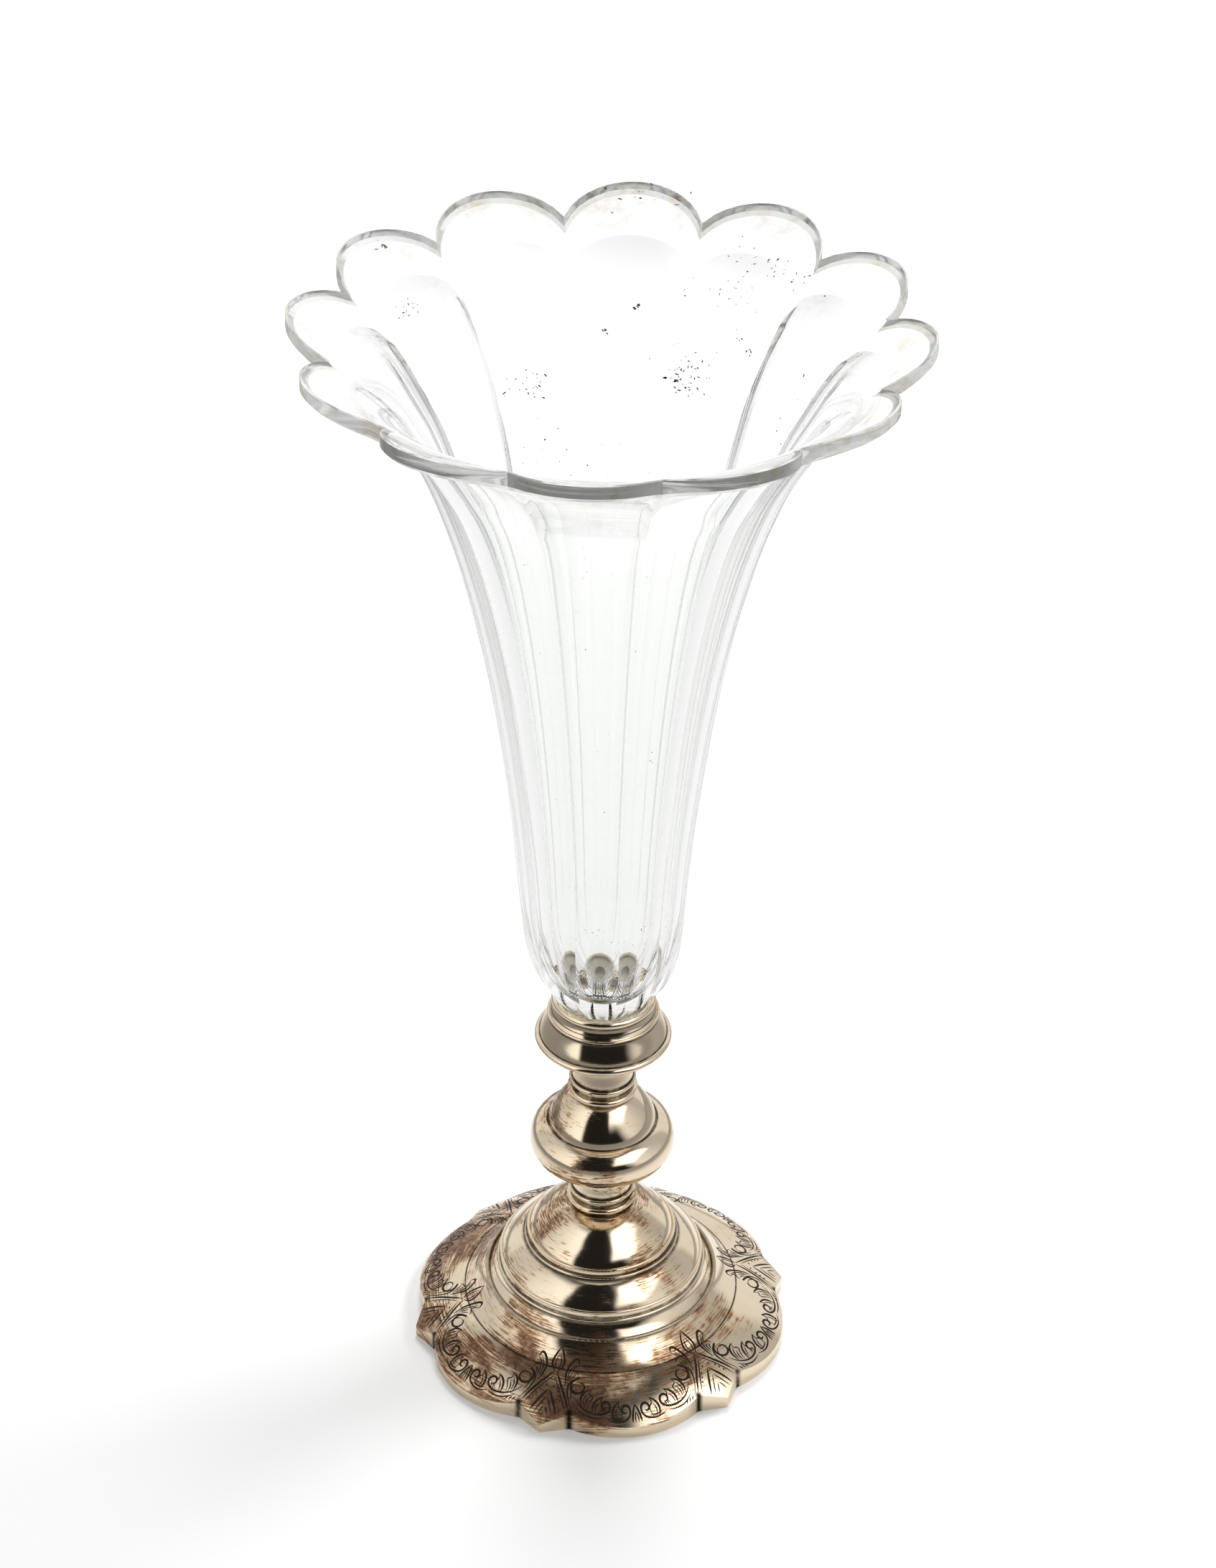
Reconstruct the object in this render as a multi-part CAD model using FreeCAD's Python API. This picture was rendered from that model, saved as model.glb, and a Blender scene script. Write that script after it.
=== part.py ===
import FreeCAD, Part
import math
import os

# A cut-glass trumpet vase in a silver foot. Millimetres, Z up.
# The origin is on the table under the middle of the foot, and a cartouche of the foot points to +X.

os.makedirs("parts", exist_ok=True)

# Sheet and wire
sheet = 0.8
overrun = 5.0
wire_step = 0.3
least_step = 0.01

# Plan of the foot border: how far each stage of the foot reaches beyond the one above it
border_reach = 20.0
foot_lobe_drop = 0.4
foot_notch_depth = 4.65
cartouche_count = 6
cartouche_half_angle = 8.5
edge_band_wall = 1.2

# Closing of the foot underneath
pad_thickness = 1.0
pad_margin = 0.4
cover_thickness = 0.8
cover_fit = 0.2

# Apron of the foot
border_height = 4.6
border_rise = 10.4
apron_cove_reach = 8.6
apron_cove_rise = 7.6
apron_flange = 2.0
step_wire_section = 0.75

# Second dome of the foot
dome_cove_reach = 4.5
dome_cove_rise = 6.4
dome_wall_height = 3.3
dome_wall_draft = 0.9
dome_reach = 9.6
dome_rise = 8.3
dome_bead_section = 0.65
dome_bead_sides = 32

# Bell of the foot
bell_reach = 16.6
bell_margin = 0.5
bell_rise = 16.6
upper_reed_section = 0.6
upper_reed_height = 3.2
lower_reed_section = 0.75

# Necks, one above and one below the knop
neck_tube_radius = 11.3
neck_waist_depth = 1.0
neck_seat_height = 8.1
large_ring_section = 1.25
large_ring_height = 2.1
small_ring_section = 0.9
small_ring_height = 6.5
lower_neck_height = 18.3
upper_neck_height = 21.7
lower_neck_flare = 1.3
upper_neck_flare = 2.9

# Knop
knop_reach = 6.05
knop_body_height = 20.3
knop_seam_reach = 9.6
knop_seam_step = 0.7
knop_cone_height = 13.2

# Collar
collar_plate_dish = 3.6
collar_plate_flat_margin = 9.4
collar_side_reach = 3.7
collar_side_height = 10.8
collar_band_draft = 2.1
collar_band_height = 6.0
collar_mouth_radius = 18.0
lip_wire_section = 1.4
bead_wire_section = 0.55
mouth_wire_section = 1.5

# Tie rod with its nuts and washers
rod_radius = 2.5
rod_hole_clearance = 0.25
nut_across_flats = 8.0
nut_height = 3.2
washer_radius = 7.5
washer_thickness = 1.0
rod_end_beyond_nut = 1.0
nut_recess_radius = 10.0

# Glass
glass_flute_count = 12
glass_turn = -1.7
glass_sink = 4.275
glass_rise = 279.4
glass_flat_radius = 9.0
glass_wall = 5.6
glass_floor = 13.0
glass_peg_radius = 7.0
glass_peg_length = 8.6
rim_tip_radius = 107.2
rim_notch_depth = 14.1
rim_bevel = 0.8
upright_slack = 0.001
rim_overrun = 9.0
ridge_depth = 0.6
flute_hollow = 0.9
flute_full_radius = 31.0
plaster_side_rise = 2.7

# Outlines, each point as shares of the radius span and of the height span that it follows
border_shares = [(0.0, 1.0), (0.2, 0.885), (0.4, 0.725), (0.6, 0.525), (0.8, 0.28), (1.0, 0.0)]
apron_cove_shares = [(0.0, 1.0), (0.21, 0.69), (0.44, 0.43), (0.71, 0.19), (1.0, 0.0)]
dome_cove_shares = [(0.0, 1.0), (0.14, 0.72), (0.42, 0.4), (0.74, 0.18), (1.0, 0.0)]
dome_shares = [(0.0, 1.0), (0.25, 0.88), (0.5, 0.67), (0.75, 0.4), (0.93, 0.13), (1.0, 0.0)]
bell_shares = [(0.0, 1.0), (0.2, 0.93), (0.42, 0.8), (0.63, 0.62), (0.83, 0.42), (0.94, 0.24), (1.0, 0.0)]
neck_shares = [(0.0, 0.0), (0.45, 0.2), (1.0, 0.45), (0.85, 0.7)]
knop_body_shares = [(0.48, 0.0), (0.665, 0.11), (0.83, 0.22), (0.95, 0.35), (1.0, 0.53),
                    (0.993, 0.68), (0.95, 0.83), (0.87, 0.94)]
knop_cone_shares = [(0.0, 0.0), (0.12, 0.26), (0.34, 0.53), (0.62, 0.79), (1.0, 1.0)]
collar_side_shares = [(0.0, 1.0), (0.2, 0.8), (0.55, 0.5), (0.87, 0.2), (1.0, 0.0)]
collar_band_shares = [(0.0, 1.0), (0.1, 0.66), (0.45, 0.3), (1.0, 0.0)]
glass_body_shares = [(0.0, 0.0), (0.044, 0.0072), (0.0875, 0.0214), (0.1265, 0.0372), (0.157, 0.0537),
                     (0.178, 0.0709), (0.1936, 0.0902), (0.208, 0.1124), (0.2195, 0.1482),
                     (0.2301, 0.1897), (0.2535, 0.2928), (0.2866, 0.3958), (0.327, 0.4989),
                     (0.3805, 0.602), (0.45, 0.7051), (0.52, 0.7824), (0.575, 0.8282),
                     (0.632, 0.864), (0.715, 0.9098), (0.774, 0.9316), (0.835, 0.9488),
                     (0.911, 0.9649), (1.0, 0.9782)]
glass_floor_shares = [(0.0, 0.0), (0.36, 0.055), (0.62, 0.19), (0.83, 0.46)]
glass_floor_height = 26.0

# Flutes: the outline point where their arched tops begin, and how many points the arch takes
arch_low_index = 18
arch_span = 2


def at(span_start, span_end, share):
    return span_start + (span_end - span_start) * share


def spread(shares, radius_start, radius_end, height_start, height_end):
    return [(at(radius_start, radius_end, a), at(height_start, height_end, b)) for a, b in shares]


def vector(point):
    return FreeCAD.Vector(point[0], 0, point[1])


def polar(radius, angle, height=0):
    turn = math.radians(angle)
    return FreeCAD.Vector(radius * math.cos(turn), radius * math.sin(turn), height)


# A path is a list of runs. Two points make a straight run and more make a smooth one.
def run_edges(path):
    edges = []
    for run in path:
        if len(run) == 2:
            edges.append(Part.makeLine(vector(run[0]), vector(run[1])))
        else:
            spline = Part.BSplineCurve()
            spline.interpolate([vector(p) for p in run])
            edges.append(spline.toShape())
    return edges


def closing_edges(points):
    return [Part.makeLine(vector(a), vector(b)) for a, b in zip(points, points[1:])]


def revolve(edges):
    face = Part.Face(Part.Wire(Part.__sortEdges__(edges)))
    solid = face.revolve(FreeCAD.Vector(0, 0, 0), FreeCAD.Vector(0, 0, 1), 360)
    if solid.ShapeType != "Solid":
        solid = solid.Solids[0]
    if solid.Volume < 0:
        solid.reverse()
    return solid


# The points of a path moved to its left-hand side, square to it. Its ends are cut level or square.
def moved_path(path, distance, level_ends=True):
    flat = []
    for run in path:
        for point in run:
            if not flat or math.dist(flat[-1], point) > 0:
                flat.append(point)
    moved = {}
    last = len(flat) - 1
    for i, point in enumerate(flat):
        before = flat[max(i - 1, 0)]
        after = flat[min(i + 1, last)]
        along = (after[0] - before[0], after[1] - before[1])
        length = math.hypot(along[0], along[1])
        side = (-along[1] / length, along[0] / length)
        if i in (0, last) and level_ends:
            shift = (distance / side[0], 0)
        else:
            shift = (side[0] * distance, side[1] * distance)
        moved[point] = (point[0] + shift[0], point[1] + shift[1])
    return [[moved[p] for p in run] for run in path]


# Sheet metal of one thickness whose outside follows a path that runs downwards and outwards.
def sheet_shell(path):
    inner = moved_path(path, -sheet)
    ends = [Part.makeLine(vector(path[0][0]), vector(inner[0][0])),
            Part.makeLine(vector(path[-1][-1]), vector(inner[-1][-1]))]
    return revolve(run_edges(path) + run_edges(inner) + ends)


# The full round body under a path, down to its lower end or to a given height.
def core(path, floor=None):
    top = path[0][0]
    bottom = path[-1][-1]
    low = bottom[1] if floor is None else floor
    points = [top, (0, top[1]), (0, low), (bottom[0], low)]
    if floor is not None:
        points.append(bottom)
    return revolve(run_edges(path) + closing_edges(points))


def largest(shape):
    return sorted(shape.Solids, key=lambda s: s.Volume)[-1]


# The flat half section of a full round body: its outside path, its lower end and the axis
def half_section(path, floor=None):
    points = []
    for edge in run_edges(path):
        points += edge.discretize(Distance=wire_step)
    low = path[-1][-1][1] if floor is None else floor
    points += [vector((points[-1].x, low)), vector((0, low)), vector((0, path[0][0][1]))]
    outline = points[:1]
    for point in points[1:] + points[:1]:
        if point.distanceToPoint(outline[-1]) > least_step:
            outline.append(point)
    outline[-1] = outline[0]
    return Part.Face(Part.makePolygon(outline))


# A round wire laid against the bodies behind it, which are given as flat half sections.
# A number of sides gives it that many fine flats instead.
def laid_wire(radius, height, section, backs, sides=0):
    centre = vector((radius, height))
    if sides:
        turns = [math.radians(360 * k / sides) for k in range(sides)]
        corners = [centre + vector((section * math.cos(t), section * math.sin(t))) for t in turns]
        face = Part.Face(Part.makePolygon(corners + corners[:1]))
    else:
        face = Part.Face(Part.Wire(Part.makeCircle(section, centre, FreeCAD.Vector(0, 1, 0))))
    for back in backs:
        face = face.cut(back)
    face = sorted(face.Faces, key=lambda f: f.Area)[-1]
    solid = face.revolve(FreeCAD.Vector(0, 0, 0), FreeCAD.Vector(0, 0, 1), 360)
    if solid.ShapeType != "Solid":
        solid = solid.Solids[0]
    if solid.Volume < 0:
        solid.reverse()
    return solid


def disc(radius, low, high):
    return Part.makeCylinder(radius, high - low, FreeCAD.Vector(0, 0, low))


def hexagon(across_flats, low, high):
    corner = across_flats / math.sqrt(3)
    points = [polar(corner, 60 * k, low) for k in range(6)]
    face = Part.Face(Part.makePolygon(points + points[:1]))
    return face.extrude(FreeCAD.Vector(0, 0, high - low))


def export(shape, node):
    shape.exportStep("parts/" + node + ".step")
    box = shape.BoundBox
    print(node, len(shape.Solids), "valid", shape.isValid(), "volume", round(shape.Volume, 2),
          "z", round(box.ZMin, 2), round(box.ZMax, 2), "r", round(box.XMax, 2))


# Outline of the foot border, drawn in by an inset: a round lobe between each two pointed cartouches
def border_prism(inset, low, high):
    edges = []
    pitch = 360 / cartouche_count
    for k in range(cartouche_count):
        middle = k * pitch
        before = polar(foot_notch_radius - inset, middle - cartouche_half_angle, low)
        tip = polar(foot_tip_radius - inset, middle, low)
        after = polar(foot_notch_radius - inset, middle + cartouche_half_angle, low)
        lobe = polar(foot_lobe_reach - inset, middle + pitch / 2, low)
        following = polar(foot_notch_radius - inset, middle + pitch - cartouche_half_angle, low)
        edges.append(Part.makeLine(before, tip))
        edges.append(Part.makeLine(tip, after))
        edges.append(Part.Arc(after, lobe, following).toShape())
    return Part.Face(Part.Wire(edges)).extrude(FreeCAD.Vector(0, 0, high - low))


# Radii of the stages, from the neck outwards
neck_waist_radius = neck_tube_radius - neck_waist_depth
bell_foot_radius = neck_tube_radius + bell_reach
dome_top_radius = bell_foot_radius + bell_margin
dome_wall_top_radius = dome_top_radius + dome_reach
dome_wall_foot_radius = dome_wall_top_radius + dome_wall_draft
apron_top_radius = dome_wall_foot_radius + dome_cove_reach
border_crease_radius = apron_top_radius + apron_cove_reach
foot_tip_radius = border_crease_radius + border_reach
foot_notch_radius = foot_tip_radius - foot_notch_depth
foot_lobe_reach = foot_tip_radius - foot_lobe_drop
knop_seam_radius = neck_tube_radius + knop_seam_reach
knop_radius = knop_seam_radius + knop_reach
collar_band_foot_radius = collar_mouth_radius + collar_band_draft
collar_foot_radius = collar_band_foot_radius + collar_side_reach
collar_plate_flat_radius = collar_foot_radius - collar_plate_flat_margin
rim_notch_radius = rim_tip_radius - rim_notch_depth

# Heights of the stages, from the table up
border_crease_z = border_height + border_rise
apron_top_z = border_crease_z + apron_cove_rise
dome_wall_foot_z = apron_top_z + dome_cove_rise
dome_wall_top_z = dome_wall_foot_z + dome_wall_height
dome_top_z = dome_wall_top_z + dome_rise
bell_top_z = dome_top_z + bell_rise
lower_neck_top_z = bell_top_z + lower_neck_height
knop_seam_z = lower_neck_top_z + knop_body_height
knop_top_z = knop_seam_z + knop_cone_height
collar_plate_z = knop_top_z + upper_neck_height
collar_foot_z = collar_plate_z + collar_plate_dish + sheet
collar_band_foot_z = collar_foot_z + collar_side_height
collar_top_z = collar_band_foot_z + collar_band_height
glass_base_z = collar_top_z + mouth_wire_section / 2 - glass_sink
cover_top_z = pad_thickness + cover_thickness

# Foot apron: a flange under the second dome, a cove down to a crease, and the border
apron_path = [
    [(apron_top_radius - apron_flange, apron_top_z), (apron_top_radius, apron_top_z)],
    spread(apron_cove_shares, apron_top_radius, border_crease_radius, border_crease_z, apron_top_z),
    spread(border_shares, border_crease_radius, foot_tip_radius, border_height, border_crease_z),
]
apron_drop = spread([border_shares[-2], border_shares[-1]], border_crease_radius, foot_tip_radius,
                    border_height, border_crease_z)
apron_slope = (apron_drop[1][1] - apron_drop[0][1]) / (apron_drop[1][0] - apron_drop[0][0])
apron_end = (foot_tip_radius + overrun, border_height + apron_slope * overrun)
apron_path.append([apron_path[-1][-1], apron_end])


apron_inner = moved_path(apron_path, -sheet, False)
apron_ends = [Part.makeLine(vector(apron_path[0][0]), vector(apron_inner[0][0])),
              Part.makeLine(vector(apron_path[-1][-1]), vector(apron_inner[-1][-1]))]
apron_round = revolve(run_edges(apron_path) + run_edges(apron_inner) + apron_ends)
apron_inner_core = core(apron_inner, 0)
outer_prism = border_prism(0, 0, apron_top_z + overrun)
foot_apron = largest(apron_round.common(outer_prism))

# Foot edge band: an upright strip that follows the border under the apron
inner_prism = border_prism(edge_band_wall, 0, apron_top_z + overrun)
foot_edge_band = largest(outer_prism.cut(inner_prism).common(apron_inner_core))

# Second dome: a curved top, an upright wall between two beads, and a cove down to the apron
dome_path = [
    spread(dome_shares, dome_top_radius, dome_wall_top_radius, dome_wall_top_z, dome_top_z),
    [(dome_wall_top_radius, dome_wall_top_z), (dome_wall_foot_radius, dome_wall_foot_z)],
    spread(dome_cove_shares, dome_wall_foot_radius, apron_top_radius, apron_top_z, dome_wall_foot_z),
]
foot_dome = sheet_shell(dome_path)
dome_section = half_section(dome_path)
foot_step_wire = laid_wire(apron_top_radius, apron_top_z + step_wire_section, step_wire_section,
                           [dome_section, half_section(apron_path, 0)])
foot_dome_lower_bead = laid_wire(dome_wall_foot_radius, dome_wall_foot_z, dome_bead_section,
                                 [dome_section], dome_bead_sides)
foot_dome_upper_bead = laid_wire(dome_wall_top_radius, dome_wall_top_z, dome_bead_section,
                                 [dome_section], dome_bead_sides)

# Bell with two reeds round its lower edge
bell_path = [spread(bell_shares, neck_tube_radius, bell_foot_radius, dome_top_z, bell_top_z)]
foot_bell = sheet_shell(bell_path)
bell_section = half_section(bell_path)
foot_lower_reed = laid_wire(dome_top_radius, dome_top_z + lower_reed_section / 2, lower_reed_section,
                            [bell_section, dome_section])
foot_upper_reed = laid_wire(bell_foot_radius - upper_reed_section / 2, dome_top_z + upper_reed_height,
                            upper_reed_section, [bell_section])


# A neck is a tube with a straight seat for its two rings, a waist above, and a flared top.
def neck_path(low, height, flare_radius):
    seat_z = low + neck_seat_height
    top = low + height
    waist = [(at(neck_tube_radius, neck_waist_radius, a), at(seat_z, top, b)) for a, b in neck_shares]
    waist.append((flare_radius, top))
    points = waist[::-1]
    return [points, [points[-1], (neck_tube_radius, low)]]


def neck_rings(low, backs):
    large = laid_wire(neck_tube_radius + large_ring_section / 3, low + large_ring_height,
                      large_ring_section, backs)
    small = laid_wire(neck_tube_radius + small_ring_section / 4, low + small_ring_height,
                      small_ring_section, backs)
    return small, large


lower_neck_path = neck_path(bell_top_z, lower_neck_height, neck_tube_radius + lower_neck_flare)
lower_neck = sheet_shell(lower_neck_path)
lower_small_ring, lower_large_ring = neck_rings(bell_top_z, [half_section(lower_neck_path), bell_section])

upper_neck_path = neck_path(knop_top_z, upper_neck_height, neck_tube_radius + upper_neck_flare)
upper_neck = sheet_shell(upper_neck_path)

# Knop: a squat ball whose upper edge meets a cone at a dark seam
knop_body_points = [(knop_radius * a, at(lower_neck_top_z, knop_seam_z, b)) for a, b in knop_body_shares]
knop_body_points.append((knop_seam_radius, knop_seam_z))
knop_body_path = [knop_body_points[::-1]]
knop_lower_shell = sheet_shell(knop_body_path)
knop_cone_path = [spread(knop_cone_shares, knop_seam_radius - knop_seam_step, neck_tube_radius,
                         knop_seam_z, knop_top_z)[::-1]]
knop_upper_shell = sheet_shell(knop_cone_path)
upper_small_ring, upper_large_ring = neck_rings(knop_top_z, [half_section(upper_neck_path),
                                                             half_section(knop_cone_path)])

# Collar: a dished plate, the flared side with its upright band, and three wires
rod_hole_radius = rod_radius + rod_hole_clearance
plate_low = [(rod_hole_radius, collar_plate_z), (collar_plate_flat_radius, collar_plate_z),
             (collar_foot_radius, collar_plate_z + collar_plate_dish)]
plate_high = [(r, z + sheet) for r, z in plate_low]
collar_underplate = revolve(closing_edges(plate_low + plate_high[::-1] + plate_low[:1]))

collar_path = [
    spread(collar_band_shares, collar_mouth_radius, collar_band_foot_radius, collar_band_foot_z,
           collar_top_z),
    spread(collar_side_shares, collar_band_foot_radius, collar_foot_radius, collar_foot_z,
           collar_band_foot_z),
]
collar_shell = sheet_shell(collar_path)
collar_section = half_section(collar_path)
collar_mouth_wire = laid_wire(collar_mouth_radius - sheet / 2, collar_top_z, mouth_wire_section,
                              [collar_section])
collar_bead_wire = laid_wire(collar_band_foot_radius, collar_band_foot_z, bead_wire_section,
                             [collar_section])
plate_outline = [(0, collar_plate_z)] + plate_low[1:] + [(collar_foot_radius, collar_foot_z),
                                                         (0, collar_foot_z), (0, collar_plate_z)]
plate_section = Part.Face(Part.makePolygon([vector(p) for p in plate_outline]))
plate_core = revolve(closing_edges(plate_outline))
collar_lip_wire = laid_wire(collar_foot_radius, collar_foot_z + lip_wire_section / 4, lip_wire_section,
                            [collar_section, plate_section])

# Tie rod: from under the filling of the foot up to the collar plate, with a nut and washer at each end
top_washer_z = collar_plate_z + sheet
top_nut_z = top_washer_z + washer_thickness
rod_top_z = top_nut_z + nut_height + rod_end_beyond_nut
rod_bottom_z = cover_top_z
bottom_nut_z = rod_bottom_z + rod_end_beyond_nut
bottom_washer_z = bottom_nut_z + nut_height
recess_top_z = bottom_washer_z + washer_thickness
tie_rod = disc(rod_radius, rod_bottom_z, rod_top_z)
rod_bore = disc(rod_radius, rod_bottom_z, rod_top_z)
rod_top_nut = hexagon(nut_across_flats, top_nut_z, top_nut_z + nut_height).cut(rod_bore)
rod_top_washer = disc(washer_radius, top_washer_z, top_nut_z).cut(
    disc(rod_hole_radius, top_washer_z, top_nut_z))
rod_bottom_nut = hexagon(nut_across_flats, bottom_nut_z, bottom_washer_z).cut(rod_bore)
rod_bottom_washer = disc(washer_radius, bottom_washer_z, recess_top_z).cut(
    disc(rod_hole_radius, bottom_washer_z, recess_top_z))

# Filling of the foot, its cover and the pad under it
bell_inner = moved_path(bell_path, -sheet)
dome_inner = moved_path(dome_path, -sheet)
filling_block = core(apron_inner, cover_top_z).common(border_prism(edge_band_wall, cover_top_z, apron_top_z))
flange_hole_radius = apron_top_radius - apron_flange
flange_plug = disc(flange_hole_radius, cover_top_z, dome_wall_foot_z)
filling_block = filling_block.fuse([flange_plug, core(dome_inner), core(bell_inner)])
filling_block = filling_block.cut(disc(rod_hole_radius, 0, bell_top_z + overrun))
filling_block = filling_block.cut(disc(nut_recess_radius, 0, recess_top_z))
foot_filling = largest(filling_block.cut(foot_apron).cut(foot_dome).cut(foot_bell))
base_cover = border_prism(edge_band_wall + cover_fit, pad_thickness, cover_top_z)
base_pad = border_prism(edge_band_wall + pad_margin, 0, pad_thickness)

# Glass blank: a turned outside, thick at the bottom and flaring to the rim
glass_top_z = glass_base_z + glass_rise
blank = spread(glass_body_shares, glass_flat_radius, rim_tip_radius, glass_base_z, glass_top_z)
rim_step = (blank[-1][0] - blank[-2][0], blank[-1][1] - blank[-2][1])
rim_beyond = (blank[-1][0] + rim_overrun, blank[-1][1] + rim_step[1] / rim_step[0] * rim_overrun)
blank.append(rim_beyond)
flute_end_rise = glass_wall + overrun
flute_end = (rim_beyond[0] + rim_step[0] / rim_step[1] * flute_end_rise, rim_beyond[1] + flute_end_rise)
blank_edges = run_edges([blank])
blank_close = closing_edges([blank[0], (0, blank[0][1]), (0, blank[-1][1] + glass_wall + overrun),
                             (blank[-1][0], blank[-1][1] + glass_wall + overrun), blank[-1]])
glass_blank = revolve(blank_edges + blank_close)

# Hollow of the glass, one wall inside the blank, with its own rounded floor
hollow_high = moved_path([blank], glass_wall)[0]
hollow_floor_z = glass_base_z + glass_floor
hollow_high = [p for p in hollow_high if p[1] > hollow_floor_z + glass_floor_height][:-1]
high_step = (hollow_high[-1][0] - hollow_high[-2][0], hollow_high[-1][1] - hollow_high[-2][1])
high_reach = blank[-1][0] + overrun
high_slope = high_step[1] / high_step[0]
hollow_end = (high_reach, hollow_high[-1][1] + high_slope * (high_reach - hollow_high[-1][0]))
hollow_low = spread(glass_floor_shares, 0, hollow_high[0][0], hollow_floor_z, hollow_high[0][1])
hollow = hollow_low + hollow_high + [hollow_end]
hollow_top = (0, hollow_end[1])
glass_hollow = revolve(run_edges([hollow]) + closing_edges([hollow_end, hollow_top, hollow[0]]))

# Flutes: a loft of twelve-sided sections with hollow sides, whose ridges reach the rim notches
half_pitch = 180 / glass_flute_count


def flute_section(index):
    radius, height = (blank + [flute_end])[index]
    hollow_here = flute_hollow * min(1, radius / flute_full_radius)
    depth = radius * (1 - math.cos(math.radians(half_pitch))) + hollow_here
    climb = (index - arch_low_index) / arch_span
    shift = depth * climb ** 2 if climb > 0 else -ridge_depth * min(1, -climb)
    ridge = radius + shift
    edges = []
    for k in range(glass_flute_count):
        middle = glass_turn + (2 * k + 1) * half_pitch
        edges.append(Part.Arc(polar(ridge, middle - half_pitch, height),
                              polar(ridge - depth, middle, height),
                              polar(ridge, middle + half_pitch, height)).toShape())
    return Part.Wire(edges)


sections = [flute_section(i) for i in range(len(blank) + 1)]
fluted = Part.makeLoft(sections, True, False)


# Rim: twelve round lobes that meet in sharp notches on the ridges
def rim_prism(low, high):
    edges = []
    for k in range(glass_flute_count):
        middle = glass_turn + (2 * k + 1) * half_pitch
        edges.append(Part.Arc(polar(rim_notch_radius, middle - half_pitch, low),
                              polar(rim_tip_radius, middle, low),
                              polar(rim_notch_radius, middle + half_pitch, low)).toShape())
    return Part.Face(Part.Wire(edges)).extrude(FreeCAD.Vector(0, 0, high - low))


glass_peg = disc(glass_peg_radius, glass_base_z - glass_peg_length, glass_base_z + glass_floor / 2)
lower_part = fluted.common(glass_blank)
trimmed = lower_part.common(rim_prism(glass_base_z, glass_top_z + overrun))
opened = trimmed.cut(glass_hollow)
solid_glass = largest(opened.fuse(glass_peg))


# The inner edge of each upright rim face, found as the highest edge of each upright face out there
def rim_edges(solid):
    found = []
    for face in solid.Faces:
        u_low, u_high, v_low, v_high = face.ParameterRange
        normal = face.normalAt((u_low + u_high) / 2, (v_low + v_high) / 2)
        middle = face.CenterOfMass
        if abs(normal.z) < upright_slack and math.hypot(middle.x, middle.y) > rim_notch_radius / 2:
            found.append(sorted(face.Edges, key=lambda e: e.CenterOfMass.z)[-1])
    return found


glass_trumpet = solid_glass.makeChamfer(rim_bevel, rim_edges(solid_glass))

# Plaster bed: fills the collar round the rod end and the peg, up to the mouth wire
collar_inner = moved_path(collar_path, -sheet)
bed_rim_z = glass_base_z + plaster_side_rise
bed_cap = revolve(closing_edges([(0, collar_plate_z), (collar_foot_radius + overrun, collar_plate_z),
                                 (collar_foot_radius + overrun, bed_rim_z),
                                 (collar_band_foot_radius, bed_rim_z), (glass_flat_radius, glass_base_z),
                                 (0, glass_base_z),
                                 (0, collar_plate_z)]))
bed_block = core(collar_inner).fuse(plate_core).common(bed_cap)
bed_neighbours = (collar_underplate, collar_shell, collar_mouth_wire, rod_top_washer, rod_top_nut, tie_rod,
                  glass_peg)
for body in bed_neighbours:
    bed_block = bed_block.cut(body)
plaster_bed = largest(bed_block)

export(foot_apron, "foot_apron")
export(foot_edge_band, "foot_edge_band")
export(foot_step_wire, "foot_step_wire")
export(foot_dome, "foot_dome")
export(foot_dome_lower_bead, "foot_dome_lower_bead")
export(foot_dome_upper_bead, "foot_dome_upper_bead")
export(foot_bell, "foot_bell")
export(foot_lower_reed, "foot_lower_reed")
export(foot_upper_reed, "foot_upper_reed")
export(lower_neck, "lower_neck")
export(lower_large_ring, "lower_neck_large_ring")
export(lower_small_ring, "lower_neck_small_ring")
export(knop_lower_shell, "knop_lower_shell")
export(knop_upper_shell, "knop_upper_shell")
export(upper_neck, "upper_neck")
export(upper_large_ring, "upper_neck_large_ring")
export(upper_small_ring, "upper_neck_small_ring")
export(collar_underplate, "collar_underplate")
export(collar_shell, "collar_shell")
export(collar_bead_wire, "collar_bead_wire")
export(collar_mouth_wire, "collar_mouth_wire")
export(collar_lip_wire, "collar_lip_wire")
export(tie_rod, "tie_rod")
export(rod_top_nut, "rod_top_nut")
export(rod_top_washer, "rod_top_washer")
export(rod_bottom_nut, "rod_bottom_nut")
export(rod_bottom_washer, "rod_bottom_washer")
export(foot_filling, "foot_filling")
export(base_cover, "base_cover")
export(base_pad, "base_pad")
export(glass_trumpet, "glass_trumpet")
export(plaster_bed, "plaster_bed")
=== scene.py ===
import math
import random

import bmesh
import bpy
import numpy as np
from mathutils import Matrix, Vector, noise
from mathutils.bvhtree import BVHTree


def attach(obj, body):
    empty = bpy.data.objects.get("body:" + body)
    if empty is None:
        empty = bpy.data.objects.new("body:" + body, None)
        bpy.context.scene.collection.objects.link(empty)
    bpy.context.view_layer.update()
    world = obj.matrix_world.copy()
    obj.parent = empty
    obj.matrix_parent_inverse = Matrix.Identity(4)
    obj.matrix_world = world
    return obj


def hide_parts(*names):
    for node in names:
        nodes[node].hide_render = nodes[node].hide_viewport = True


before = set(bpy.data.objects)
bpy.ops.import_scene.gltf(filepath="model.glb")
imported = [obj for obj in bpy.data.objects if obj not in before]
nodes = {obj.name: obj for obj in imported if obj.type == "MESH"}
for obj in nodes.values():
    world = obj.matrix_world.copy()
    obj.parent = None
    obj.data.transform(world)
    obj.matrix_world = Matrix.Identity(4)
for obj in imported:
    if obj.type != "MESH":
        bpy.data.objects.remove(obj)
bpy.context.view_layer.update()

MM = 0.001


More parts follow.
